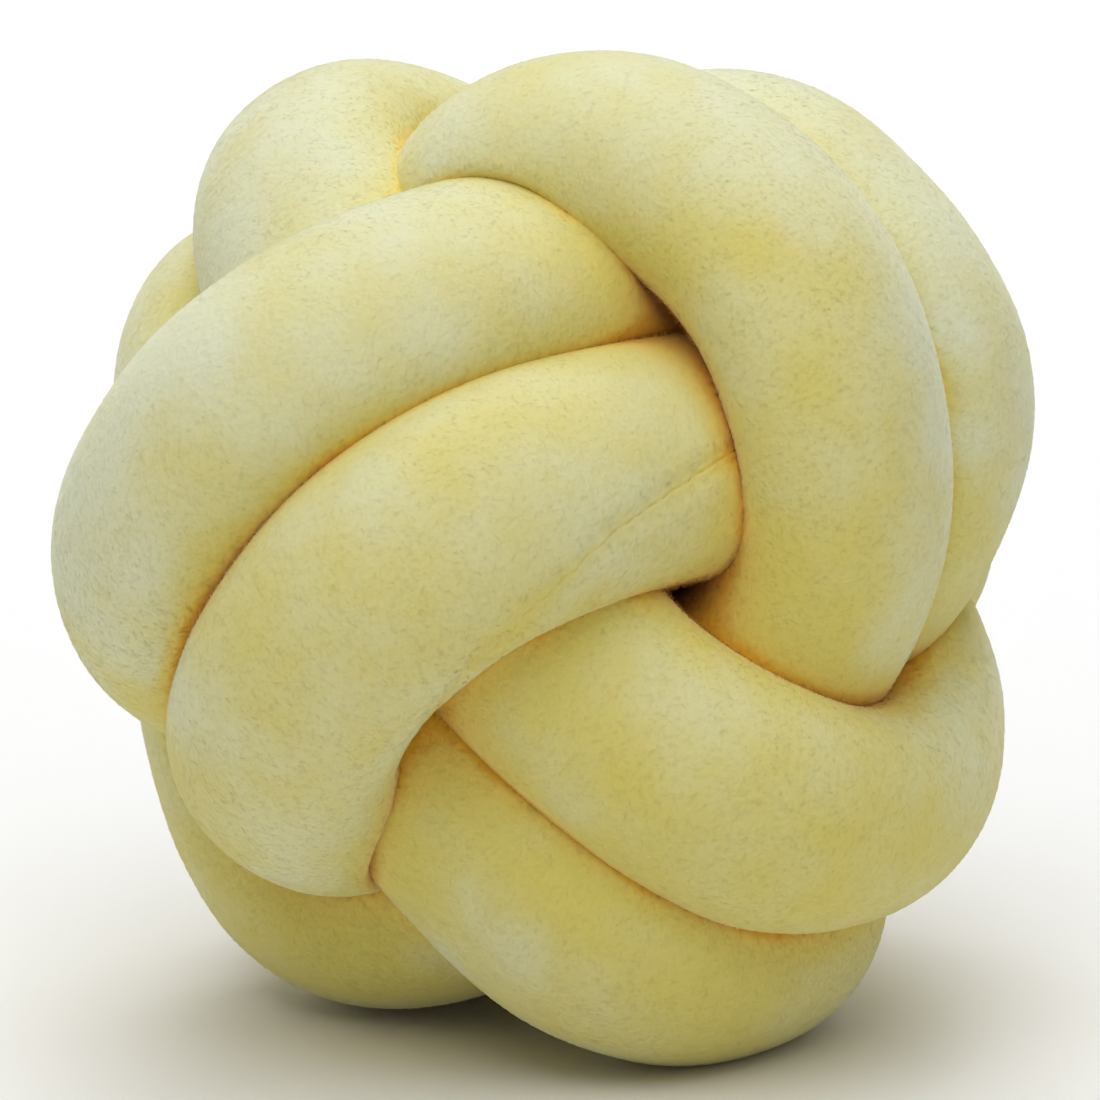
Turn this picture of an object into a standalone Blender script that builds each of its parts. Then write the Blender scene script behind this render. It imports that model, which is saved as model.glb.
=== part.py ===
"""A knot cushion: one long stuffed tube tied into a ball.

The tube makes three bands of two turns each, as in a monkey's fist knot. Every band passes
over one neighbour and under the other, and both ends of the tube are tucked into the middle.
Lengths below are in millimetres until the mesh is made in metres. +Z is up, and the origin is
on the surface that the ball stands on, under the middle of its box.
"""

import math
from collections import namedtuple

import bmesh
import bpy
import numpy as np

METRES = 0.001
TINY = 1e-6

# The tube before it is tied, and how its section changes where it is pulled over the ball.
TUBE_RADIUS = 29.5
CORE_RADIUS = 19.0  # squeezed in the middle of the ball
CORE_REACH = 39.0  # nearer the centre than this the tube is fully squeezed
OUTER_REACH = 65.0  # farther from the centre than this it is at its full size
WIDEN = 1.06  # across an outer turn
FLATTEN = 0.86  # from the inside of an outer turn to its outside
MOST_SWELLING = 1.22  # cloth bulges this much at most beside a squeeze

# The ball.
OVER_REACH = 112.0  # centre of the ball to a turn's centreline where it passes over a band
UNDER_REACH = 65.0  # the same where the turn passes under a band
PAIR_HALF = 28.5  # middle of a band to each of its two turns
FULLNESS = 2.5  # exponent of the rounded loop that a turn follows, where 2 is an ellipse
BALL_ANGLES = (83, 41, -38.5)  # degrees about X, then Y, then Z, of the three crossing axes
FLAT_SPOT_DEPTH = 3.0  # pressed flat underneath

# Where the two turns of a band meet the next stretch of tube, in degrees round the band.
TUCK = 270.0  # under the neighbouring band, at the back of the ball
TUCK_HALF = 24.0  # the tube dives inwards this far before and after it
CHANGE_HALF = 40.0  # and slants from the first turn to the second over twice this
TURN_STEP = 6.0  # between two worked-out points of a turn

# The centreline.
POINTS_PER_SPAN = 12  # read between two points of the route
FINE_STEP = 4.0
KINK_PASSES = 12  # rounds of easing, which take out the kinks between hand-placed points

# The surface.
RING_STEP = 11.0  # between two rings of the mesh
SIDES = 16
TIP_LENGTH = 0.25 * RING_STEP  # from each end ring to the point that closes the tube
CONTACT_GAP = 2.0  # between two turns where they press on each other
CONTACT_EASE = 7.0  # the radius bends this gradually into a squeeze
NEIGHBOUR_LENGTH = 75.0  # nearer along the tube than this is a bend, not another turn
SMALLEST_RADIUS = 6.0
SWELLING_ROUNDS = 3
SWELLING_PASSES = 6  # rounds of easing along the tube

PLUSH_COLOUR = (0.69, 0.62, 0.31, 1.0)
PLUSH_ROUGHNESS = 0.95

# A band lies round one of the ball's three axes, its normal. shift moves it along that axis,
# tilt leans its long way towards the axis, and first is the side of its first turn.
Band = namedtuple("Band", "name normal over under first shift_mm tilt_deg")
BANDS = (
    Band("left", 0, 2, 1, -1, -2, -5),
    Band("high", 2, 1, 0, 1, -8, 1),
    Band("low", 1, 0, 2, 1, -7, -3),
)

# How single turns differ from the even loop: out from the ball's centre and across the band.
Nudge = namedtuple("Nudge", "band side at_deg out_mm across_mm")
NUDGES = (
    Nudge("left", -1, 5, 0, 3),
    Nudge("left", -1, 315, 4, 0),
    Nudge("left", 1, 60, -4, 0),
    Nudge("left", 1, 115, -7, -4),
    Nudge("left", 1, 300, 6, 0),
    Nudge("high", -1, 0, -5, -4),
    Nudge("high", -1, 25, 2, 3),
    Nudge("high", -1, 60, -6, 6),
    Nudge("high", -1, 95, -10, -4),
    Nudge("high", -1, 170, 7, 0),
    Nudge("high", 1, 70, 7, -17),
    Nudge("high", 1, 160, 8, 0),
    Nudge("high", 1, 205, -8, 0),
    Nudge("high", 1, 305, 7, 0),
    Nudge("low", -1, 90, -8, 3),
    Nudge("low", -1, 145, -8, 0),
    Nudge("low", -1, 235, 4, 0),
    Nudge("low", -1, 325, 7, 0),
    Nudge("low", 1, 68, 0, -7),
    Nudge("low", 1, 165, 5, 0),
    Nudge("low", 1, 215, -10, 0),
    Nudge("low", 1, 310, 6, 0),
)
NUDGE_WIDTH = 28.0  # degrees

# The stretches through the middle, as points on the ball's three axes.
START_TUCK = ((-24, -46, 6), (-26, -58, 22))
LEFT_TO_HIGH = ((22, -38, -20), (4, -12, 0), (-28, 8, 22))
HIGH_TO_LOW = ((-44, -19, -27), (-18, 2, -28), (12, 17, -42))
END_TUCK = ((-22, -30, -54), (-8, -32, -40))


def unit(vectors):
    return vectors / np.linalg.norm(vectors, axis=-1, keepdims=True)


def ball_axes():
    """The directions of the three crossings, one in each row."""
    x, y, z = (math.radians(angle) for angle in BALL_ANGLES)
    about_x = np.array([[1, 0, 0], [0, math.cos(x), -math.sin(x)], [0, math.sin(x), math.cos(x)]])
    about_y = np.array([[math.cos(y), 0, math.sin(y)], [0, 1, 0], [-math.sin(y), 0, math.cos(y)]])
    about_z = np.array([[math.cos(z), -math.sin(z), 0], [math.sin(z), math.cos(z), 0], [0, 0, 1]])
    return (about_z @ about_y @ about_x).T


def smooth_step(value):
    held = np.clip(value, 0.0, 1.0)
    return held * held * (3 - 2 * held)


def rounded(value):
    """A cosine or sine, swollen so that the turn is fuller than an ellipse."""
    return math.copysign(abs(value) ** (2 / FULLNESS), value)


def nudge(band, side, degrees):
    """How far the turn stands out and across at this angle."""
    out, across = 0.0, 0.0
    for row in NUDGES:
        if row.band != band.name:
            continue
        turn_share = (1 + row.side * side) / 2
        away = (degrees - row.at_deg + 180) % 360 - 180
        weight = turn_share * math.exp(-((away / NUDGE_WIDTH) ** 2))
        out += weight * row.out_mm
        across += weight * row.across_mm
    return out, across


def turn_point(band, degrees, side):
    """A point of the centreline, on the ball's axes. side runs from -1 to 1 across the band."""
    angle = math.radians(degrees)
    out, across = nudge(band, side, degrees)
    along_over = (OVER_REACH + out) * rounded(math.cos(angle))
    along_under = (UNDER_REACH + out) * rounded(math.sin(angle))
    lean = math.radians(band.tilt_deg)
    point = np.zeros(3)
    point[band.over] = along_over * math.cos(lean)
    point[band.under] = along_under
    point[band.normal] = side * (PAIR_HALF + across) + band.shift_mm + along_over * math.sin(lean)
    return point


def band_points(band):
    """Both turns of a band, from where the tube comes out of the middle to where it goes back."""
    start = TUCK + TUCK_HALF - 360
    length = 720 - 2 * TUCK_HALF
    points = []
    for degrees in np.linspace(start, start + length, round(length / TURN_STEP) + 1):
        changed = smooth_step((degrees - TUCK + CHANGE_HALF) / (2 * CHANGE_HALF))
        points.append(turn_point(band, degrees, band.first * (1 - 2 * changed)))
    return points


def route_points():
    """Hand-placed and worked-out points of the whole tube, on the ball's axes."""
    left, high, low = (band_points(band) for band in BANDS)
    parts = (START_TUCK, left, LEFT_TO_HIGH, high, HIGH_TO_LOW, low, END_TUCK)
    return np.array([point for part in parts for point in part], dtype=float)


def mixed(t, start, end, first, last):
    """first at t = start, last at t = end, and a straight mix of them elsewhere."""
    return ((end - t) * first + (t - start) * last) / (end - start)


def span(before, start, end, after):
    """A centripetal Catmull-Rom curve from start to end."""
    chords = np.linalg.norm(np.diff([before, start, end, after], axis=0), axis=1)
    k0, k1, k2, k3 = np.concatenate([[0], np.cumsum(np.sqrt(chords))])
    t = k1 + (k2 - k1) * np.linspace(0, 1, POINTS_PER_SPAN, endpoint=False)[:, None]
    first = mixed(t, k0, k1, before, start)
    middle = mixed(t, k1, k2, start, end)
    last = mixed(t, k2, k3, end, after)
    return mixed(t, k1, k2, mixed(t, k0, k2, first, middle), mixed(t, k1, k3, middle, last))


def through(points):
    """A smooth curve through the points."""
    padded = np.vstack([2 * points[0] - points[1], points, 2 * points[-1] - points[-2]])
    spans = [span(*four) for four in zip(padded, padded[1:], padded[2:], padded[3:])]
    return np.vstack(spans + [points[-1:]])


def even_steps(curve, step):
    lengths = np.concatenate([[0], np.cumsum(np.linalg.norm(np.diff(curve, axis=0), axis=1))])
    at = np.linspace(0, lengths[-1], round(lengths[-1] / step) + 1)
    return np.stack([np.interp(at, lengths, curve[:, axis]) for axis in range(3)], axis=1)


def softened(curve, passes):
    """The curve with small kinks eased out and its ends kept."""
    eased = curve.copy()
    for _ in range(passes):
        eased[1:-1] = (eased[:-2] + 2 * eased[1:-1] + eased[2:]) / 4
    return eased


def centreline():
    """The tube's centreline in the part's directions, one point for each ring."""
    fine = softened(even_steps(through(route_points()), FINE_STEP), KINK_PASSES)
    return even_steps(fine, RING_STEP) @ ball_axes()


def tangents(curve):
    return unit(np.gradient(curve, axis=0))


def ring_directions(curve):
    """For each ring, SIDES directions square to the curve, carried along it without twist."""
    along = tangents(curve)
    side = unit(np.cross(along[0], (0.0, 0.0, 1.0)))
    turn = np.linspace(0, 2 * math.pi, SIDES, endpoint=False)[:, None]
    rings = []
    for tangent in along:
        side = unit(side - tangent * (side @ tangent))
        rings.append(np.cos(turn) * side + np.sin(turn) * np.cross(tangent, side))
    return np.array(rings)


def free_radius(curve, directions):
    """The tube's own radius in each direction: oval on the outside, round and small within."""
    along = tangents(curve)
    outward = curve - (curve * along).sum(axis=1, keepdims=True) * along
    reach = np.linalg.norm(outward, axis=1, keepdims=True)
    facing = np.einsum("rsk,rk->rs", directions, outward / np.maximum(reach, TINY)) ** 2
    oval = 1 / np.sqrt(facing / FLATTEN**2 + (1 - facing) / WIDEN**2)
    distance = np.linalg.norm(curve, axis=1, keepdims=True)
    outer = smooth_step((distance - CORE_REACH) / (OUTER_REACH - CORE_REACH))
    return outer * oval * TUBE_RADIUS + (1 - outer) * CORE_RADIUS


def room(curve, directions):
    """How far each ring point may reach before it meets the tube's other turns."""
    to_others = curve[None] - curve[:, None]
    distance = (to_others**2).sum(axis=2)
    order = np.arange(len(curve))
    apart = np.abs(order[None] - order[:, None])
    gap = np.where(apart * RING_STEP < NEIGHBOUR_LENGTH, 0.0, CONTACT_GAP)
    reach = np.empty(directions.shape[:2])
    for side in range(SIDES):
        towards = np.einsum("rk,rok->ro", directions[:, side], to_others) + gap
        meets = (towards > TINY) & (apart > 0)
        share = np.full(towards.shape, np.inf)
        share[meets] = (distance - gap**2)[meets] / (2 * towards[meets])
        reach[:, side] = share.min(axis=1)
    return np.maximum(reach, SMALLEST_RADIUS)


def pressed(free, most):
    """The smaller of the two radii, eased where they are nearly equal."""
    near = np.clip(1 - np.abs(free - most) / CONTACT_EASE, 0, 1)
    return np.minimum(free, most) - CONTACT_EASE * near**2 / 4


def ring_area(radius):
    slice_angle = 2 * math.pi / SIDES
    return 0.5 * math.sin(slice_angle) * (radius * np.roll(radius, 1, axis=1)).sum(axis=1)


def tube_radius(curve, directions):
    """The radius in each direction. Where turns press on each other, the rest swells."""
    free = free_radius(curve, directions)
    most = room(curve, directions)
    wanted = ring_area(free)
    swelling = np.ones(len(curve))
    for _ in range(SWELLING_ROUNDS):
        have = ring_area(pressed(free * swelling[:, None], most))
        swelling = np.clip(swelling * np.sqrt(wanted / have), 1.0, MOST_SWELLING)
        swelling = softened(swelling, SWELLING_PASSES)
    return pressed(free * swelling[:, None], most)


def end_rounding(count):
    """Shrinks the last rings so that each end of the tube closes in a dome."""
    along = np.arange(count) * RING_STEP
    from_end = np.minimum(along, along[::-1]) + TIP_LENGTH
    share = np.clip(from_end / CORE_RADIUS, 0, 1)
    return np.sqrt(1 - (1 - share) ** 2)


def tube_rings():
    """Ring points of the whole tube, standing on z = 0 with its box centred on the origin."""
    curve = centreline()
    directions = ring_directions(curve)
    radius = tube_radius(curve, directions) * end_rounding(len(curve))[:, None]
    rings = curve[:, None] + radius[..., None] * directions
    low, high = rings.min(axis=(0, 1)), rings.max(axis=(0, 1))
    rings -= ((low[0] + high[0]) / 2, (low[1] + high[1]) / 2, low[2] + FLAT_SPOT_DEPTH)
    rings[..., 2] = np.maximum(rings[..., 2], 0)
    return rings


def plush_material():
    material = bpy.data.materials.new("pale_yellow_plush")
    material.use_nodes = True
    shader = material.node_tree.nodes["Principled BSDF"]
    shader.inputs["Base Color"].default_value = PLUSH_COLOUR
    shader.inputs["Roughness"].default_value = PLUSH_ROUGHNESS
    shader.inputs["Metallic"].default_value = 0
    return material


def close_end(shape, ring):
    """A fan of triangles from the ring to a point in its middle."""
    tip = shape.verts.new(sum((corner.co for corner in ring[1:]), ring[0].co.copy()) / SIDES)
    for side in range(SIDES):
        shape.faces.new((tip, ring[side], ring[(side + 1) % SIDES]))


def build_tube(name, rings, material):
    """One closed surface: the rings joined by quads, and a fan at each end."""
    shape = bmesh.new()
    loops = [[shape.verts.new(point * METRES) for point in ring] for ring in rings]
    for ring, following in zip(loops, loops[1:]):
        for side in range(SIDES):
            beside = (side + 1) % SIDES
            shape.faces.new((ring[side], ring[beside], following[beside], following[side]))
    close_end(shape, loops[0][::-1])
    close_end(shape, loops[-1])
    mesh = bpy.data.meshes.new(name)
    shape.to_mesh(mesh)
    shape.free()
    mesh.shade_smooth()
    mesh.materials.append(material)
    tube = bpy.data.objects.new(name, mesh)
    bpy.context.scene.collection.objects.link(tube)
    return tube


def clear_scene():
    for thing in list(bpy.data.objects):
        bpy.data.objects.remove(thing, do_unlink=True)


def main():
    clear_scene()
    build_tube("knot_tube", tube_rings(), plush_material())


if __name__ == "__main__":
    main()
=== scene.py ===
"""The looks of the knot cushion: one pale yellow plush tube, tied into a ball.

The tube is worked out as in the part, but finer. Its turns press against each other, its
stuffing is uneven and its seam is drawn in. A short pile of tufts is rooted on the cloth.
Lengths are in millimetres until a mesh is made in metres. The lights' places are in metres.
"""

import math
from collections import namedtuple

import bpy
import numpy as np
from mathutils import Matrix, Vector, noise
from mathutils.bvhtree import BVHTree


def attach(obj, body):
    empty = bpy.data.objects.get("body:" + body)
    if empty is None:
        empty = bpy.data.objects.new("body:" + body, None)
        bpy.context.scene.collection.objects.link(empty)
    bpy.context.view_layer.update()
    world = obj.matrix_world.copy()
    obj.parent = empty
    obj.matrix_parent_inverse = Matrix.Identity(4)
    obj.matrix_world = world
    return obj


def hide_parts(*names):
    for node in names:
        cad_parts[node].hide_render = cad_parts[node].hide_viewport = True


METRES = 0.001
TINY = 1e-6

# The tube before it is tied, and how its section changes where it is pulled over the ball.
TUBE_RADIUS = 29.5
CORE_RADIUS = 19.0  # squeezed in the middle of the ball
CORE_REACH = 39.0  # nearer the centre than this the tube is fully squeezed
OUTER_REACH = 65.0  # farther from the centre than this it is at its full size
WIDEN = 1.06  # across an outer turn
FLATTEN = 0.86  # from the inside of an outer turn to its outside
MOST_SWELLING = 1.22  # cloth bulges this much at most beside a squeeze

# The ball.
OVER_REACH = 112.0  # centre of the ball to a turn's centreline where it passes over a band
UNDER_REACH = 65.0  # the same where the turn passes under a band
PAIR_HALF = 28.5  # middle of a band to each of its two turns
FULLNESS = 2.5  # exponent of the rounded loop that a turn follows, where 2 is an ellipse
BALL_ANGLES = (83, 41, -38.5)  # degrees about X, then Y, then Z, of the three crossing axes
FLAT_SPOT_DEPTH = 3.0  # pressed flat underneath

# Where the two turns of a band meet the next stretch of tube, in degrees round the band.
TUCK = 270.0  # under the neighbouring band, at the back of the ball
TUCK_HALF = 24.0  # the tube dives inwards this far before and after it
CHANGE_HALF = 40.0  # and slants from the first turn to the second over twice this
TURN_STEP = 6.0  # between two worked-out points of a turn

# The centreline.
POINTS_PER_SPAN = 12  # read between two points of the route
FINE_STEP = 4.0
KINK_PASSES = 12  # rounds of easing, which take out the kinks between the listed points

# The cloth's surface.
RING_STEP = 3.75  # between two rings of the mesh
SIDES = 96
TIP_LENGTH = 0.25 * RING_STEP  # from each end ring to the point that closes the tube
CONTACT_GAP = -4.2  # turns that press on each other share this much, as their pile does
CONTACT_EASE = 1.2  # the radius bends this gradually into a squeeze
NEIGHBOUR_LENGTH = 75.0  # nearer along the tube than this is a bend, not another turn
SMALLEST_RADIUS = 6.0
SWELLING_ROUNDS = 3
SWELLING_PASSES = 50  # rounds of easing along the tube

# Uneven stuffing: noise that swells and shrinks the tube.
Lump = namedtuple("Lump", "size_mm height_mm")
LUMPS = (Lump(70.0, 1.1), Lump(28.0, 0.45))

# The sewn seam, by its angle from the tube's outermost line at distances along the tube. It
# lies on the inside of the turns, apart from one stretch on the lower turn of the left band.
SeamPoint = namedtuple("SeamPoint", "along_mm angle_deg")
SEAM = (
    SeamPoint(0, 150),
    SeamPoint(640, 150),
    SeamPoint(740, 95),
    SeamPoint(788, 61),
    SeamPoint(806, 43),
    SeamPoint(825, 30),
    SeamPoint(850, 12),
    SeamPoint(900, 40),
    SeamPoint(980, 150),
    SeamPoint(3660, 150),
)
SEAM_DEPTH = 1.3
SEAM_HALF_WIDTH = 3.0
SEAM_SHADE = 0.3  # painted shade along the seam: it counts as less open than the cloth beside it, by this share
PUCKER_STEP = 8.5  # the stitches draw the cloth in at about this spacing
PUCKER_SHARE = 0.45

# The seam's two pressed edges, where it shows: points across the seam and how high they stand.
EdgePoint = namedtuple("EdgePoint", "across_mm height_mm")
SEAM_EDGES = (
    EdgePoint(-3.0, -0.35),
    EdgePoint(-1.7, 0.15),
    EdgePoint(-0.9, 0.42),
    EdgePoint(-0.4, 0.3),
    EdgePoint(0.0, -0.05),
    EdgePoint(0.4, 0.3),
    EdgePoint(0.9, 0.42),
    EdgePoint(1.7, 0.15),
    EdgePoint(3.0, -0.35),
)
SEAM_SHOWS = (774.0, 866.0)  # along the tube
EDGE_FADE = 8.0
EDGE_STEP = 0.5
STITCH_STEP = 4.0
STITCH_PULL = 0.55  # a stitch takes away this share of the edges' height
SEAM_LINE_OPEN = 0.35  # painted shade in the line between the edges: it counts as this share as open as the cloth

# How open each spot is, by rays cast from it.
RAYS = 20  # over half a sphere
RAY_START = 1.5  # off the cloth
RAY_LENGTH = 90.0  # what is farther off than this doesn't count
OPEN_STEP = 2  # rays are cast from every second ring and side
OPEN_PASSES = 2  # rounds of easing between them
HIDDEN_REACH = 70.0  # nearer the centre than this nothing shows
FOLD_SHADE_LOWER = 0.3  # painted shade: creases are warmer and darker low on the ball, counted less open by this share at its bottom and more open at its top

# The pile.
TUFTS_PER_PIECE = 98000
TUFT_LENGTH = (1.2, 2.4)
TUFT_HALF_WIDTH = (0.14, 0.24)
TUFT_RIDGE = 0.10  # the middle of a tuft's root stands this high
TUFT_SINK = 0.1  # roots start this deep in the cloth
TUFT_LEAN = (79.0, 87.0)  # degrees from standing straight up
CREASE_LEAN = (35.0, 65.0)  # where the cloth turns into a crease
TUFT_STRAY = 28.0  # degrees that one tuft may point aside from its neighbours
NAP_ACROSS = 80.0  # degrees from the tube's own direction to the way the pile lies
NAP_TURN = 50.0  # degrees that the brushed direction wanders to either side
NAP_SIZE = 42.0
TUFT_SOFTNESS = 0.95  # share of the cloth's own normal in a tuft's shading
CREASE_OPEN = 0.5  # less open than this is a crease
LEAST_OPEN = 0.02  # tufts grow only where the cloth is more open than this
SEED = 11

# The plush. Its colours are linear.
PALE = (0.77, 0.79, 0.56, 1.0)
DEEP = (0.74, 0.645, 0.165, 1.0)  # where the pile lies the other way, and painted shade low on the ball and beside other turns
PAINTED_BOUNCE = (0.82, 0.65, 0.15, 1.0)  # painted warm bounce light beside a crease
PAINTED_BOUNCE_OPEN = (0.72, 0.34)  # how open the cloth is where the painted bounce starts, and where it is full
FOLD_SHADE = (0.80, 0.46, 0.035, 1.0)  # painted shade in a crease, warm as light that has bounced between the turns
FOLD_SHADE_OPEN = (0.43, 0.16)  # the same for the painted crease shade
SPECK_TINT = (1.0, 0.985, 0.92, 1.0)
SPECK_SCALE = 520.0  # to a metre
SPECK_DETAIL = 1.0
SPECK_RANGE = (0.25, 0.75)
ROUGHNESS = (0.82, 0.98)
BUMP_STRENGTH = 0.35
BUMP_HEIGHT = 0.3
SPECULAR = 0.05
SHEEN = 0.4
SHEEN_ROUGHNESS = 0.5
SHEEN_TINT = (0.97, 1.0, 0.85, 1.0)

# Where the pile lies another way, which makes it deeper or paler, and partly painted light and
# painted shade. The patches are placed as the photograph shows them, from the middle of the ball
# as it is seen there.
BRUSH_SIZES = (46.0, 17.0, 7.0)
BRUSH_WANDER = (0.25, 0.20, 0.10)
BRUSHED_MIDDLE = 0.50
SHADE_ASIDE = 0.6  # painted shade: deeper by up to this much beside another turn, the less open the cloth lies
SHADE_LOWER = 0.20  # painted shade and painted light: deeper by this much at the bottom of the ball, and paler at its top
PATCH_FADE = 50.0  # the patches fade out over this depth in front of the ball's middle
Patch = namedtuple("Patch", "right_mm up_mm radius_mm deeper")
PATCHES = (
    Patch(-94, 15, 14, 0.2),
    Patch(-104, 28, 12, -0.15),
    Patch(-65, -27, 20, 0.1),
    Patch(33, 75, 15, 0.3),
    Patch(0, 72, 12, 0.15),
    Patch(70, -16, 26, 0.35),
    Patch(38, -69, 45, 0.2),
    Patch(-28, -83, 18, 0.25),
    Patch(17, -112, 32, 0.05),
    Patch(72, -117, 24, 0.1),
    Patch(-67, -120, 38, 0.35),
    Patch(-108, -58, 16, 0.5),
    Patch(17, 65, 12, 0.4),
    Patch(1, 118, 22, 0.2),
    Patch(36, 102, 18, 0.15),
    Patch(65, 113, 14, 0.15),
    Patch(70, 63, 16, 0.25),
    Patch(-4, -32, 14, 0.1),
    Patch(-22, -91, 9, -0.35),
    Patch(-9, -104, 10, -0.35),
    Patch(-4, -73, 9, -0.25),
    Patch(4, 14, 18, 0.1),
    Patch(92, 62, 18, -0.2),
    Patch(-86, 42, 16, -0.2),
    Patch(-68, 110, 28, -0.4),
    Patch(-108, 66, 26, -0.6),
    Patch(-130, 8, 20, -0.4),
    Patch(-94, -42, 14, -0.4),
    Patch(-66, -88, 14, -0.35),
    Patch(-107, -22, 18, -0.3),
    Patch(105, -50, 18, -0.2),
    Patch(-38, 115, 12, -0.5),
    Patch(-70, 88, 12, 0.35),
    Patch(-46, 54, 14, 0.1),
    Patch(-20, 60, 14, 0.2),
    Patch(49, 68, 10, 0.3),
    Patch(70, 36, 20, 0.25),
    Patch(104, 24, 10, -0.4),
    Patch(102, 52, 9, -0.4),
    Patch(94, -34, 14, -0.4),
    Patch(38, 32, 10, -0.3),
    Patch(34, -43, 20, -0.3),
    Patch(-32, -108, 10, -0.4),
)

# The camera, at the photograph's angle to the object.
VIEW_ELEVATION = 12.0
VIEW_DISTANCE = 1500.0
VIEW_WIDTH = 291.0  # seen at the middle of the ball
AIM_RIGHT = -1.2  # the picture's middle, from the middle of the ball
AIM_UP = -3.3
SENSOR = 36.0
NEAREST = 50.0  # nothing nearer to the camera than this is drawn

# The studio: a floor that bends up into a backdrop behind the ball, and its lights.
FLOOR_COLOUR = (0.9, 0.9, 0.9, 1.0)
FLOOR_ROUGHNESS = 0.9
FLOOR_WIDTH = 24000.0
FLOOR_FRONT = -3000.0
FLOOR_BEND = 1500.0  # where it starts to bend up
BEND_RADIUS = 1200.0
BEND_POINTS = 25
BACKDROP_TOP = 4000.0
Lamp = namedtuple("Lamp", "name place_m aim_m across_m watts")
LAMPS = (
    Lamp("key", (-0.1, -0.75, 1.95), (0.0, 0.0, 0.13), 2.4, 33.0),
    Lamp("fill", (0.9, -1.4, 1.0), (0.0, 0.0, 0.13), 1.4, 0.5),
    Lamp("wall", (0.0, 1.3, 2.6), (0.0, 2.7, 0.9), 2.0, 46.0),
)
WORLD_STRENGTH = 0.2

# A band lies round one of the ball's three axes, its normal. shift moves it along that axis,
# tilt leans its long way towards the axis, and first is the side of its first turn.
Band = namedtuple("Band", "name normal over under first shift_mm tilt_deg")
BANDS = (
    Band("left", 0, 2, 1, -1, -2, -5),
    Band("high", 2, 1, 0, 1, -8, 1),
    Band("low", 1, 0, 2, 1, -7, -3),
)

# How single turns differ from the even loop: out from the ball's centre and across the band.
Nudge = namedtuple("Nudge", "band side at_deg out_mm across_mm")
NUDGES = (
    Nudge("left", -1, 5, 0, 3),
    Nudge("left", -1, 315, 4, 0),
    Nudge("left", 1, 60, -4, 0),
    Nudge("left", 1, 115, -7, -4),
    Nudge("left", 1, 300, 6, 0),
    Nudge("high", -1, 0, -5, -4),
    Nudge("high", -1, 25, 2, 3),
    Nudge("high", -1, 60, -6, 6),
    Nudge("high", -1, 95, -10, -4),
    Nudge("high", -1, 170, 7, 0),
    Nudge("high", 1, 70, 7, -17),
    Nudge("high", 1, 160, 8, 0),
    Nudge("high", 1, 205, -8, 0),
    Nudge("high", 1, 305, 7, 0),
    Nudge("low", -1, 90, -8, 3),
    Nudge("low", -1, 145, -8, 0),
    Nudge("low", -1, 235, 4, 0),
    Nudge("low", -1, 325, 7, 0),
    Nudge("low", 1, 68, 0, -7),
    Nudge("low", 1, 165, 5, 0),
    Nudge("low", 1, 215, -10, 0),
    Nudge("low", 1, 310, 6, 0),
)
NUDGE_WIDTH = 28.0  # degrees

# The stretches through the middle, as points on the ball's three axes.
START_TUCK = ((-24, -46, 6), (-26, -58, 22))
LEFT_TO_HIGH = ((22, -38, -20), (4, -12, 0), (-28, 8, 22))
HIGH_TO_LOW = ((-44, -19, -27), (-18, 2, -28), (12, 17, -42))
END_TUCK = ((-22, -30, -54), (-8, -32, -40))

# The tube's skin, as grids of rings and sides.
Cloth = namedtuple("Cloth", "points normals along openness brushed seam")


# The tube's route.


def unit(vectors):
    return vectors / np.maximum(np.linalg.norm(vectors, axis=-1, keepdims=True), TINY)


def ball_axes():
    """The directions of the three crossings, one in each row."""
    x, y, z = (math.radians(angle) for angle in BALL_ANGLES)
    about_x = np.array([[1, 0, 0], [0, math.cos(x), -math.sin(x)], [0, math.sin(x), math.cos(x)]])
    about_y = np.array([[math.cos(y), 0, math.sin(y)], [0, 1, 0], [-math.sin(y), 0, math.cos(y)]])
    about_z = np.array([[math.cos(z), -math.sin(z), 0], [math.sin(z), math.cos(z), 0], [0, 0, 1]])
    return (about_z @ about_y @ about_x).T


def smooth_step(value):
    held = np.clip(value, 0.0, 1.0)
    return held * held * (3 - 2 * held)


def rounded(value):
    """A cosine or sine, swollen so that the turn is fuller than an ellipse."""
    return math.copysign(abs(value) ** (2 / FULLNESS), value)


def nudge(band, side, degrees):
    """How far the turn stands out and across at this angle."""
    out, across = 0.0, 0.0
    for row in NUDGES:
        if row.band != band.name:
            continue
        turn_share = (1 + row.side * side) / 2
        away = (degrees - row.at_deg + 180) % 360 - 180
        weight = turn_share * math.exp(-((away / NUDGE_WIDTH) ** 2))
        out += weight * row.out_mm
        across += weight * row.across_mm
    return out, across


def turn_point(band, degrees, side):
    """A point of the centreline, on the ball's axes. side runs from -1 to 1 across the band."""
    angle = math.radians(degrees)
    out, across = nudge(band, side, degrees)
    along_over = (OVER_REACH + out) * rounded(math.cos(angle))
    along_under = (UNDER_REACH + out) * rounded(math.sin(angle))
    lean = math.radians(band.tilt_deg)
    point = np.zeros(3)
    point[band.over] = along_over * math.cos(lean)
    point[band.under] = along_under
    point[band.normal] = side * (PAIR_HALF + across) + band.shift_mm + along_over * math.sin(lean)
    return point


def band_points(band):
    """Both turns of a band, from where the tube comes out of the middle to where it goes back."""
    start = TUCK + TUCK_HALF - 360
    length = 720 - 2 * TUCK_HALF
    points = []
    for degrees in np.linspace(start, start + length, round(length / TURN_STEP) + 1):
        changed = smooth_step((degrees - TUCK + CHANGE_HALF) / (2 * CHANGE_HALF))
        points.append(turn_point(band, degrees, band.first * (1 - 2 * changed)))
    return points


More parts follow.
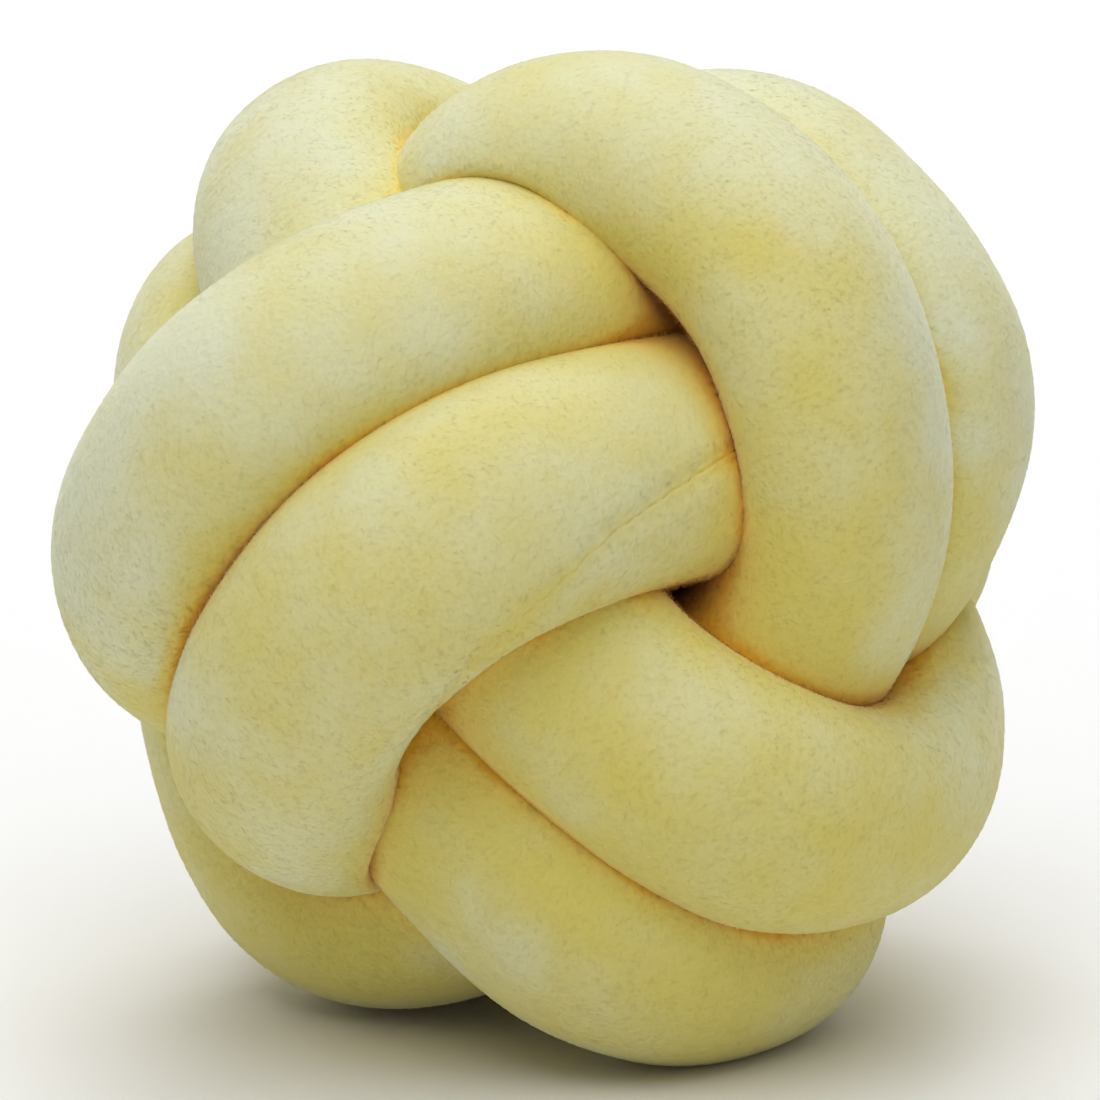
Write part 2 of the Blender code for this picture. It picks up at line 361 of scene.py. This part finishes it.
def route_points():
    """Listed and worked-out points of the whole tube, on the ball's axes."""
    left, high, low = (band_points(band) for band in BANDS)
    parts = (START_TUCK, left, LEFT_TO_HIGH, high, HIGH_TO_LOW, low, END_TUCK)
    return np.array([point for part in parts for point in part], dtype=float)


def mixed(t, start, end, first, last):
    """first at t = start, last at t = end, and a straight mix of them elsewhere."""
    return ((end - t) * first + (t - start) * last) / (end - start)


def span(before, start, end, after):
    """A centripetal Catmull-Rom curve from start to end."""
    chords = np.linalg.norm(np.diff([before, start, end, after], axis=0), axis=1)
    k0, k1, k2, k3 = np.concatenate([[0], np.cumsum(np.sqrt(chords))])
    t = k1 + (k2 - k1) * np.linspace(0, 1, POINTS_PER_SPAN, endpoint=False)[:, None]
    first = mixed(t, k0, k1, before, start)
    middle = mixed(t, k1, k2, start, end)
    last = mixed(t, k2, k3, end, after)
    return mixed(t, k1, k2, mixed(t, k0, k2, first, middle), mixed(t, k1, k3, middle, last))


def through(points):
    """A smooth curve through the points."""
    padded = np.vstack([2 * points[0] - points[1], points, 2 * points[-1] - points[-2]])
    spans = [span(*four) for four in zip(padded, padded[1:], padded[2:], padded[3:])]
    return np.vstack(spans + [points[-1:]])


def even_steps(curve, step):
    lengths = np.concatenate([[0], np.cumsum(np.linalg.norm(np.diff(curve, axis=0), axis=1))])
    at = np.linspace(0, lengths[-1], round(lengths[-1] / step) + 1)
    return np.stack([np.interp(at, lengths, curve[:, axis]) for axis in range(3)], axis=1)


def softened(curve, passes):
    """The curve with small kinks eased out and its ends kept."""
    eased = curve.copy()
    for _ in range(passes):
        eased[1:-1] = (eased[:-2] + 2 * eased[1:-1] + eased[2:]) / 4
    return eased


def centreline():
    """The tube's centreline in the part's directions, one point for each ring."""
    fine = softened(even_steps(through(route_points()), FINE_STEP), KINK_PASSES)
    return softened(even_steps(fine, RING_STEP), KINK_PASSES) @ ball_axes()


# The tube's skin.


def tangents(curve):
    return unit(np.gradient(curve, axis=0))


def ring_directions(curve):
    """For each ring, SIDES directions square to the curve, carried along it without twist."""
    along = tangents(curve)
    side = unit(np.cross(along[0], (0.0, 0.0, 1.0)))
    turn = np.linspace(0, 2 * math.pi, SIDES, endpoint=False)[:, None]
    rings = []
    for tangent in along:
        side = unit(side - tangent * (side @ tangent))
        rings.append(np.cos(turn) * side + np.sin(turn) * np.cross(tangent, side))
    return np.array(rings)


def free_radius(curve, directions):
    """The tube's own radius in each direction: oval on the outside, round and small within."""
    along = tangents(curve)
    outward = curve - (curve * along).sum(axis=1, keepdims=True) * along
    reach = np.linalg.norm(outward, axis=1, keepdims=True)
    facing = np.einsum("rsk,rk->rs", directions, outward / np.maximum(reach, TINY)) ** 2
    oval = 1 / np.sqrt(facing / FLATTEN**2 + (1 - facing) / WIDEN**2)
    distance = np.linalg.norm(curve, axis=1, keepdims=True)
    outer = smooth_step((distance - CORE_REACH) / (OUTER_REACH - CORE_REACH))
    return outer * oval * TUBE_RADIUS + (1 - outer) * CORE_RADIUS


def lumpiness(points):
    """How far uneven stuffing pushes each point out."""
    flat = points.reshape(-1, 3)
    out = np.zeros(len(flat))
    for lump in LUMPS:
        places = (flat / lump.size_mm).tolist()
        out += lump.height_mm * np.array([noise.noise(place) for place in places])
    return out.reshape(points.shape[:-1])


def from_seam(curve, directions):
    """How far each point of the rings is from the seam, round the tube."""
    along = tangents(curve)
    outward = unit(curve - (curve * along).sum(axis=1, keepdims=True) * along)
    aside = np.cross(along, outward)
    across = np.einsum("rsk,rk->rs", directions, aside)
    angle = np.arctan2(across, np.einsum("rsk,rk->rs", directions, outward))
    travelled = np.arange(len(curve)) * RING_STEP
    table = np.array(SEAM, dtype=float)
    seam = np.radians(np.interp(travelled, table[:, 0], table[:, 1]))
    return ((angle - seam[:, None] + math.pi) % (2 * math.pi) - math.pi) * TUBE_RADIUS


def seam_groove(curve, directions):
    """How deep the seam draws in each point of the rings."""
    travelled = np.arange(len(curve)) * RING_STEP
    pucker = 1 + PUCKER_SHARE * np.cos(2 * math.pi * travelled / PUCKER_STEP)
    near = np.exp(-((from_seam(curve, directions) / SEAM_HALF_WIDTH) ** 2))
    return SEAM_DEPTH * pucker[:, None] * near


def room(curve, directions):
    """How far each ring point may reach before it meets the tube's other turns."""
    to_others = curve[None] - curve[:, None]
    distance = (to_others**2).sum(axis=2)
    order = np.arange(len(curve))
    apart = np.abs(order[None] - order[:, None])
    gap = np.where(apart * RING_STEP < NEIGHBOUR_LENGTH, 0.0, CONTACT_GAP)
    reach = np.empty(directions.shape[:2])
    for side in range(SIDES):
        towards = np.einsum("rk,rok->ro", directions[:, side], to_others) + gap
        meets = (towards > TINY) & (apart > 0)
        share = np.full(towards.shape, np.inf)
        share[meets] = (distance - gap**2)[meets] / (2 * towards[meets])
        reach[:, side] = share.min(axis=1)
    return np.maximum(reach, SMALLEST_RADIUS)


def pressed(free, most):
    """The smaller of the two radii, eased where they are nearly equal."""
    near = np.clip(1 - np.abs(free - most) / CONTACT_EASE, 0, 1)
    return np.minimum(free, most) - CONTACT_EASE * near**2 / 4


def ring_area(radius):
    slice_angle = 2 * math.pi / SIDES
    return 0.5 * math.sin(slice_angle) * (radius * np.roll(radius, 1, axis=1)).sum(axis=1)


def tube_radius(curve, directions):
    """The radius in each direction. Where turns press on each other, the rest swells."""
    free = free_radius(curve, directions)
    free += lumpiness(curve[:, None] + free[..., None] * directions)
    free -= seam_groove(curve, directions)
    most = room(curve, directions)
    wanted = ring_area(free)
    swelling = np.ones(len(curve))
    for _ in range(SWELLING_ROUNDS):
        have = ring_area(pressed(free * swelling[:, None], most))
        swelling = np.clip(swelling * np.sqrt(wanted / have), 1.0, MOST_SWELLING)
        swelling = softened(swelling, SWELLING_PASSES)
    return pressed(free * swelling[:, None], most)


def end_rounding(count):
    """Shrinks the last rings so that each end of the tube closes in a dome."""
    along = np.arange(count) * RING_STEP
    from_end = np.minimum(along, along[::-1]) + TIP_LENGTH
    share = np.clip(from_end / CORE_RADIUS, 0, 1)
    return np.sqrt(1 - (1 - share) ** 2)


def tube_rings():
    """The whole tube's ring points, the middle of the ball, and how far the seam is."""
    curve = centreline()
    directions = ring_directions(curve)
    radius = tube_radius(curve, directions) * end_rounding(len(curve))[:, None]
    rings = curve[:, None] + radius[..., None] * directions
    low, high = rings.min(axis=(0, 1)), rings.max(axis=(0, 1))
    foot = np.array([(low[0] + high[0]) / 2, (low[1] + high[1]) / 2, low[2] + FLAT_SPOT_DEPTH])
    rings -= foot
    rings[..., 2] = np.maximum(rings[..., 2], 0)
    return rings, -foot, from_seam(curve, directions)


def grid_faces(ring_count, sides):
    """The quads between rings, as rows of four vertex numbers."""
    ring, side = np.meshgrid(np.arange(ring_count - 1), np.arange(sides), indexing="ij")
    beside = (side + 1) % sides
    corners = (ring * sides + side, ring * sides + beside)
    following = ((ring + 1) * sides + beside, (ring + 1) * sides + side)
    return np.stack(corners + following, axis=-1).reshape(-1, 4)


def escape_rays():
    """Even directions over a whole sphere, twice as many as over half of it."""
    index = np.arange(2 * RAYS) + 0.5
    height = 1 - index / RAYS
    turn = math.pi * (1 + math.sqrt(5)) * index
    width = np.sqrt(1 - height**2)
    return np.stack([width * np.cos(turn), width * np.sin(turn), height], axis=1)


def openness(rings, normals, middle):
    """The share of the directions above each spot that isn't blocked by another turn."""
    faces = grid_faces(*rings.shape[:2])
    tree = BVHTree.FromPolygons(rings.reshape(-1, 3).tolist(), faces.tolist())
    coarse = rings[::OPEN_STEP, ::OPEN_STEP]
    facing = normals[::OPEN_STEP, ::OPEN_STEP]
    found = np.zeros(coarse.shape[:2])
    rays = [Vector(ray) for ray in escape_rays()]
    for spot in np.argwhere(np.linalg.norm(coarse - middle, axis=-1) > HIDDEN_REACH):
        normal = Vector(facing[tuple(spot)])
        start = Vector(coarse[tuple(spot)]) + normal * RAY_START
        total, out = 0.0, 0.0
        for ray in rays:
            weight = ray.dot(normal)
            if weight <= 0:
                continue
            total += weight
            if tree.ray_cast(start, ray, RAY_LENGTH)[0] is None:
                out += weight
        found[tuple(spot)] = out / total
    return spread(found, rings.shape[:2])


def spread(coarse, shape):
    """Values read on every OPEN_STEP-th ring and side, eased over the whole grid."""
    rows = np.arange(shape[0]) / OPEN_STEP
    columns = np.arange(shape[1]) / OPEN_STEP
    wrapped = np.concatenate([coarse, coarse[:, :1]], axis=1)
    known = np.arange(coarse.shape[0])
    by_ring = np.stack([np.interp(rows, known, column) for column in wrapped.T], axis=1)
    known = np.arange(wrapped.shape[1])
    fine = np.stack([np.interp(columns, known, row) for row in by_ring])
    for _ in range(OPEN_PASSES):
        fine = (np.roll(fine, 1, 1) + 2 * fine + np.roll(fine, -1, 1)) / 4
        fine = softened(fine, 1)
    return fine


def brushing_and_shade(points, middle):
    """0 where the pile looks pale and 1 where it looks deep: by how the pile lies, with painted
    light at the top of the ball, painted shade at its bottom, and patches that are partly painted
    light and painted shade.
    """
    flat = points.reshape(-1, 3)
    lift = math.radians(VIEW_ELEVATION)
    right = flat[:, 0] - middle[0]
    towards = middle[1] - flat[:, 1]
    up = (flat[:, 2] - middle[2]) * math.cos(lift) - towards * math.sin(lift)
    deep = BRUSHED_MIDDLE - SHADE_LOWER * up / OVER_REACH
    for size, wander in zip(BRUSH_SIZES, BRUSH_WANDER):
        deep += wander * np.array([noise.noise(place) for place in (flat / size).tolist()])
    for patch in PATCHES:
        away = np.hypot(right - patch.right_mm, up - patch.up_mm) / patch.radius_mm
        deep += patch.deeper * np.exp(-(away**2)) * smooth_step(towards / PATCH_FADE)
    return deep.reshape(points.shape[:-1])


def make_cloth():
    """The tube's skin with all that the pile and the colours need, and the ball's middle."""
    rings, middle, seam = tube_rings()
    along = unit(np.gradient(rings, axis=0))
    around = np.roll(rings, -1, axis=1) - np.roll(rings, 1, axis=1)
    normals = unit(np.cross(around, along))
    centre = rings.mean(axis=1, keepdims=True)
    outward = ((rings - centre) * normals).sum(axis=-1).mean()
    normals *= math.copysign(1, outward)
    # Painted shade along the seam, through the colours that follow openness.
    seam_shade = SEAM_SHADE * np.exp(-((seam / SEAM_HALF_WIDTH) ** 2))
    open_here = openness(rings, normals, middle) * (1 - seam_shade)
    # Painted shade: the cloth is coloured deeper the less open it lies.
    deep = np.clip(brushing_and_shade(rings, middle) + SHADE_ASIDE * (1 - open_here), 0, 1)
    # Painted shade in the creases low on the ball, and less of it at the top.
    open_here *= 1 + FOLD_SHADE_LOWER * (rings[..., 2] - middle[2]) / OVER_REACH
    return Cloth(rings, normals, along, open_here, deep, seam), middle


# Meshes.


def mesh_of(name, points, faces):
    """A mesh from arrays, with faces that all have the same number of corners."""
    mesh = bpy.data.meshes.new(name)
    mesh.vertices.add(len(points))
    mesh.vertices.foreach_set("co", (points * METRES).astype(np.float32).ravel())
    mesh.loops.add(faces.size)
    mesh.loops.foreach_set("vertex_index", faces.astype(np.int32).ravel())
    mesh.polygons.add(len(faces))
    mesh.polygons.foreach_set("loop_start", np.arange(len(faces), dtype=np.int32) * faces.shape[1])
    mesh.update(calc_edges=True)
    mesh.shade_smooth()
    return mesh


def placed(name, mesh, material):
    mesh.materials.append(material)
    piece = bpy.data.objects.new(name, mesh)
    bpy.context.scene.collection.objects.link(piece)
    return piece


def number_each_point(mesh, name, values):
    numbers = mesh.attributes.new(name, "FLOAT", "POINT").data
    numbers.foreach_set("value", values.astype(np.float32))


def between(grid, ring, side, ring_share, side_share):
    """A grid's value inside quads: the shares lead from a ring and side to the next ones."""
    beside = (side + 1) % grid.shape[1]
    shape = (-1,) + (1,) * (grid.ndim - 2)
    u, v = ring_share.reshape(shape), side_share.reshape(shape)
    near = grid[ring, side] * (1 - v) + grid[ring, beside] * v
    far = grid[ring + 1, side] * (1 - v) + grid[ring + 1, beside] * v
    return near * (1 - u) + far * u


def in_triangles(quads):
    return np.concatenate([quads[:, [0, 1, 2]], quads[:, [0, 2, 3]]])


def tip_points(points):
    """The two points that close the tube, beyond its first and last rings."""
    centres = points[[0, 1, -2, -1]].mean(axis=1)
    outward = unit(np.array([centres[0] - centres[1], centres[3] - centres[2]]))
    return centres[[0, 3]] + TIP_LENGTH * outward


def tip_faces(ring_count, sides):
    """Fans from the first and last rings to the tips, which are the last two points."""
    side = np.arange(sides)
    beside = (side + 1) % sides
    last = (ring_count - 1) * sides
    start_tip = np.full(sides, ring_count * sides)
    start = np.stack([beside, side, start_tip], axis=1)
    end = np.stack([last + side, last + beside, start_tip + 1], axis=1)
    return np.concatenate([start, end])


def build_cloth(cloth, material):
    """The whole tube as one closed mesh."""
    ring_count, sides = cloth.points.shape[:2]
    points = np.concatenate([cloth.points.reshape(-1, 3), tip_points(cloth.points)])
    faces = [in_triangles(grid_faces(ring_count, sides)), tip_faces(ring_count, sides)]
    mesh = mesh_of("plush_tube", points, np.concatenate(faces))
    for name, values in (("openness", cloth.openness), ("brushed", cloth.brushed)):
        number_each_point(mesh, name, np.append(values, [values[0, 0], values[-1, 0]]))
    return placed("plush_tube", mesh, material)


# The seam.


def seam_sides(cloth):
    """Where the seam crosses each ring, counted in sides, and the width of a side."""
    rings = np.arange(len(cloth.seam))
    nearest = np.abs(cloth.seam).argmin(axis=1)
    away = cloth.seam[rings, nearest]
    width = cloth.seam[rings, (nearest + 1) % SIDES] - away
    turn = 2 * math.pi / SIDES
    return np.unwrap((nearest - away / width) * turn) / turn, np.median(width)


def edge_heights(travelled, edges):
    """How high the edges stand: drawn in by the stitches, and sunk at both ends of the strip."""
    stitches = 0.5 + 0.5 * np.cos(2 * math.pi * travelled / STITCH_STEP)
    height = edges[:, 1] * (1 - STITCH_PULL * stitches)[:, None]
    from_end = np.minimum(travelled - SEAM_SHOWS[0], SEAM_SHOWS[1] - travelled)
    shown = smooth_step(from_end / EDGE_FADE)[:, None]
    return shown * height + (1 - shown) * edges[:, 1].min()


def build_seam(cloth, material):
    """The two edges of the seam, as a strip that lies in the groove."""
    travelled = np.arange(*SEAM_SHOWS, EDGE_STEP)
    edges = np.array(SEAM_EDGES)
    crossed, width = seam_sides(cloth)
    ring_at = np.repeat(travelled / RING_STEP, len(edges))
    middle_side = np.interp(travelled / RING_STEP, np.arange(len(crossed)), crossed)
    side_at = (middle_side[:, None] + edges[:, 0] / width).ravel()
    ring, side = np.floor(ring_at).astype(int), np.floor(side_at).astype(int)
    spot = (ring, side % SIDES, ring_at - ring, side_at - side)
    height = edge_heights(travelled, edges).ravel()[:, None]
    points = between(cloth.points, *spot) + height * unit(between(cloth.normals, *spot))
    first = np.arange(len(travelled) - 1)[:, None] * len(edges) + np.arange(len(edges) - 1)
    beyond = first + len(edges)
    faces = np.stack([first, first + 1, beyond + 1, beyond], axis=-1).reshape(-1, 4)
    mesh = mesh_of("seam", points, faces)
    # Painted shade in the seam's line.
    line = np.where(edges[:, 0] == 0, SEAM_LINE_OPEN, 1.0)
    open_here = between(cloth.openness, *spot) * np.tile(line, len(travelled))
    number_each_point(mesh, "openness", open_here)
    number_each_point(mesh, "brushed", between(cloth.brushed, *spot))
    return placed("seam", mesh, material)


# The pile.


def nap_angles(points):
    """Which way the pile lies, as an angle from the tube's own direction."""
    places = (points.reshape(-1, 3) / NAP_SIZE).tolist()
    wander = np.array([noise.noise(place) for place in places])
    return np.radians(NAP_ACROSS + 2 * NAP_TURN * wander.reshape(points.shape[:-1]))


def patch_areas(points):
    """The area of each quad between two rings."""
    beside = np.roll(points, -1, axis=1)
    first, second = beside[1:] - points[:-1], points[1:] - beside[:-1]
    return np.linalg.norm(np.cross(first, second), axis=-1) / 2


def tuft_spots(cloth, rows, random):
    """Where tufts are rooted, even over the open cloth: quads, and places inside them."""
    shows = (cloth.openness[:-1] > LEAST_OPEN)[rows]
    weight = (patch_areas(cloth.points)[rows] * shows).ravel()
    chosen = random.choice(len(weight), TUFTS_PER_PIECE, p=weight / weight.sum())
    ring, side = np.divmod(chosen, cloth.points.shape[1])
    return ring + rows.start, side, random.random(len(chosen)), random.random(len(chosen))


def tuft_directions(cloth, nap, spot, random):
    """For each tuft the cloth's normal, the way it points along the cloth, and aside."""
    normal = unit(between(cloth.normals, *spot))
    along = between(cloth.along, *spot)
    along = unit(along - (along * normal).sum(axis=1, keepdims=True) * normal)
    stray = math.radians(TUFT_STRAY) * random.normal(size=len(normal))
    turn = (between(nap, *spot) + stray)[:, None]
    forward = np.cos(turn) * along + np.sin(turn) * np.cross(normal, along)
    return normal, forward, np.cross(normal, forward)


def tuft_leans(open_here, random):
    """How far each tuft leans from standing straight up, which is less in a crease."""
    upright = smooth_step(1 - open_here / CREASE_OPEN)
    flat_lean = random.uniform(*TUFT_LEAN, len(open_here))
    crease_lean = random.uniform(*CREASE_LEAN, len(open_here))
    return np.radians(flat_lean * (1 - upright) + crease_lean * upright)[:, None]


def make_tufts(cloth, nap, rows, random):
    """Four points and four normals for each tuft: left, ridge, right and tip."""
    spot = tuft_spots(cloth, rows, random)
    normal, forward, aside = tuft_directions(cloth, nap, spot, random)
    open_here = between(cloth.openness, *spot)
    lean = tuft_leans(open_here, random)
    length = random.uniform(*TUFT_LENGTH, len(lean))[:, None]
    half = random.uniform(*TUFT_HALF_WIDTH, len(lean))[:, None]
    root = between(cloth.points, *spot) - TUFT_SINK * normal
    ridge = root + TUFT_RIDGE * normal
    tip = root + length * (np.cos(lean) * normal + np.sin(lean) * forward)
    points = np.stack([root - half * aside, ridge, root + half * aside, tip], axis=1)
    top = np.sin(lean) * normal - np.cos(lean) * forward
    sides = np.stack([top - aside, top, top + aside, top], axis=1)
    normals = unit(TUFT_SOFTNESS * normal[:, None] + (1 - TUFT_SOFTNESS) * unit(sides))
    return points, normals, open_here, between(cloth.brushed, *spot)


def build_pile(name, cloth, nap, rows, material, random):
    """Tufts on some of the rings: each is two triangles that meet in a ridge."""
    points, normals, open_here, brushed = make_tufts(cloth, nap, rows, random)
    points[..., 2] = np.maximum(points[..., 2], 0)
    corners = np.array([[2, 1, 3], [1, 0, 3]])
    faces = (corners[None] + 4 * np.arange(len(points))[:, None, None]).reshape(-1, 3)
    mesh = mesh_of(name, points.reshape(-1, 3), faces)
    number_each_point(mesh, "openness", np.repeat(open_here, 4))
    number_each_point(mesh, "brushed", np.repeat(brushed, 4))
    mesh.normals_split_custom_set_from_vertices(normals.reshape(-1, 3).tolist())
    return placed(name, mesh, material)


# Materials.


def new_material(name):
    material = bpy.data.materials.new(name)
    material.use_nodes = True
    return material, material.node_tree, material.node_tree.nodes["Principled BSDF"]


def add_noise(tree, place, scale, detail):
    texture = tree.nodes.new("ShaderNodeTexNoise")
    texture.inputs["Scale"].default_value = scale
    texture.inputs["Detail"].default_value = detail
    tree.links.new(place, texture.inputs["Vector"])
    return texture.outputs["Fac"]


def stretched(tree, value, low, high):
    """0 at low, 1 at high, smooth between."""
    step = tree.nodes.new("ShaderNodeMapRange")
    step.interpolation_type = "SMOOTHSTEP"
    step.inputs["From Min"].default_value = low
    step.inputs["From Max"].default_value = high
    tree.links.new(value, step.inputs["Value"])
    return step.outputs["Result"]


def blend_colours(tree, share, first, second, kind="MIX"):
    mix = tree.nodes.new("ShaderNodeMix")
    mix.data_type = "RGBA"
    mix.blend_type = kind
    tree.links.new(share, mix.inputs["Factor"])
    for socket, colour in ((mix.inputs[6], first), (mix.inputs[7], second)):
        if isinstance(colour, tuple):
            socket.default_value = colour
        else:
            tree.links.new(colour, socket)
    return mix.outputs[2]


def read_attribute(tree, name):
    node = tree.nodes.new("ShaderNodeAttribute")
    node.attribute_name = name
    return node.outputs["Fac"]


def plush_colour(tree, specks):
    """Pale or deep as the pile lies and as painted light and painted shade fall, then warmer with
    painted bounce light and painted crease shade the less open the cloth lies.
    """
    patches = stretched(tree, read_attribute(tree, "brushed"), 0.0, 1.0)
    open_here = read_attribute(tree, "openness")
    brushed = blend_colours(tree, patches, PALE, DEEP)
    speckled = blend_colours(tree, specks, brushed, SPECK_TINT, "MULTIPLY")
    # Painted bounce light beside creases and painted shade in them, by how open the cloth lies.
    bounce_painted = blend_colours(tree, stretched(tree, open_here, *PAINTED_BOUNCE_OPEN), speckled, PAINTED_BOUNCE)
    return blend_colours(tree, stretched(tree, open_here, *FOLD_SHADE_OPEN), bounce_painted, FOLD_SHADE)


def plush_roughness(tree, specks):
    rough = tree.nodes.new("ShaderNodeMapRange")
    rough.inputs["To Min"].default_value, rough.inputs["To Max"].default_value = ROUGHNESS
    tree.links.new(specks, rough.inputs["Value"])
    return rough.outputs["Result"]


def plush_bump(tree, specks):
    bump = tree.nodes.new("ShaderNodeBump")
    bump.inputs["Strength"].default_value = BUMP_STRENGTH
    bump.inputs["Distance"].default_value = BUMP_HEIGHT * METRES
    tree.links.new(specks, bump.inputs["Height"])
    return bump.outputs["Normal"]


def plush_material():
    material, tree, shader = new_material("pale_yellow_plush")
    place = tree.nodes.new("ShaderNodeTexCoord").outputs["Object"]
    specks = stretched(tree, add_noise(tree, place, SPECK_SCALE, SPECK_DETAIL), *SPECK_RANGE)
    tree.links.new(plush_colour(tree, specks), shader.inputs["Base Color"])
    tree.links.new(plush_roughness(tree, specks), shader.inputs["Roughness"])
    tree.links.new(plush_bump(tree, specks), shader.inputs["Normal"])
    shader.inputs["Specular IOR Level"].default_value = SPECULAR
    shader.inputs["Sheen Weight"].default_value = SHEEN
    shader.inputs["Sheen Roughness"].default_value = SHEEN_ROUGHNESS
    shader.inputs["Sheen Tint"].default_value = SHEEN_TINT
    return material


def floor_material():
    material, _, shader = new_material("pale_floor")
    shader.inputs["Base Color"].default_value = FLOOR_COLOUR
    shader.inputs["Roughness"].default_value = FLOOR_ROUGHNESS
    return material


# The studio.


def build_floor():
    """A pale floor that curves up into a backdrop."""
    profile = [(FLOOR_FRONT, 0.0)]
    for angle in np.radians(np.linspace(0, 90, BEND_POINTS)):
        height = BEND_RADIUS * (1 - math.cos(angle))
        profile.append((FLOOR_BEND + BEND_RADIUS * math.sin(angle), height))
    profile.append((FLOOR_BEND + BEND_RADIUS, BACKDROP_TOP))
    edges = (-FLOOR_WIDTH / 2, FLOOR_WIDTH / 2)
    points = np.array([[x, y, z] for y, z in profile for x in edges])
    first = 2 * np.arange(len(profile) - 1)[:, None]
    floor = placed("floor", mesh_of("floor", points, first + [0, 1, 3, 2]), floor_material())


def build_lights():
    for lamp in LAMPS:
        light = bpy.data.lights.new(lamp.name, "AREA")
        light.shape = "DISK"
        light.size = lamp.across_m
        light.energy = lamp.watts
        holder = bpy.data.objects.new(lamp.name, light)
        holder.location = lamp.place_m
        towards = Vector(lamp.aim_m) - Vector(lamp.place_m)
        holder.rotation_euler = towards.to_track_quat("-Z", "Y").to_euler()
        bpy.context.scene.collection.objects.link(holder)
    world = bpy.data.worlds.new("studio")
    world.use_nodes = True
    background = world.node_tree.nodes["Background"]
    background.inputs["Color"].default_value = (1.0, 1.0, 1.0, 1.0)
    background.inputs["Strength"].default_value = WORLD_STRENGTH
    bpy.context.scene.world = world


def build_camera(middle):
    """At the photograph's angle, with the same stretch of the object in view."""
    lift = math.radians(VIEW_ELEVATION)
    right = np.array([1.0, 0.0, 0.0])
    up = np.array([0.0, math.sin(lift), math.cos(lift)])
    back = np.array([0.0, -math.cos(lift), math.sin(lift)])
    place = middle + VIEW_DISTANCE * back + AIM_RIGHT * right + AIM_UP * up
    camera = bpy.data.cameras.new("camera")
    camera.sensor_width = SENSOR
    camera.lens = SENSOR * VIEW_DISTANCE / VIEW_WIDTH
    camera.clip_start = NEAREST * METRES
    holder = bpy.data.objects.new("camera", camera)
    holder.location = place * METRES
    holder.rotation_euler = Vector(back).to_track_quat("Z", "Y").to_euler()
    bpy.context.scene.collection.objects.link(holder)
    bpy.context.scene.camera = holder


def build_cushion(cloth):
    """The cloth, the seam where it shows, and the pile in one piece for each band."""
    plush = plush_material()
    tube = build_cloth(cloth, plush)
    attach(tube, "root")
    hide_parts("knot_tube")
    seam = build_seam(cloth, plush)
    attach(seam, "root")
    random = np.random.default_rng(SEED)
    nap = nap_angles(cloth.points)
    # Each band takes up about a third of the tube.
    ends = np.linspace(0, len(cloth.points) - 1, len(BANDS) + 1).astype(int)
    for band, start, end in zip(BANDS, ends, ends[1:]):
        pile = build_pile("pile_" + band.name, cloth, nap, slice(start, end), plush, random)
        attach(pile, "root")


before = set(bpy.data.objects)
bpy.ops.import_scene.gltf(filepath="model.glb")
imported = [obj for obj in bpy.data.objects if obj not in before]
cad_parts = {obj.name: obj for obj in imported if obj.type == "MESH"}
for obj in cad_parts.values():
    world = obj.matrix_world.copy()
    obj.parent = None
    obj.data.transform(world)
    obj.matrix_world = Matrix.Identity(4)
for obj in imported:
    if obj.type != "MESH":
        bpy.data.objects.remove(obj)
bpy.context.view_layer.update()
cloth, middle = make_cloth()
build_camera(middle)
build_lights()
build_floor()
build_cushion(cloth)
bpy.context.scene.view_settings.view_transform = "Standard"
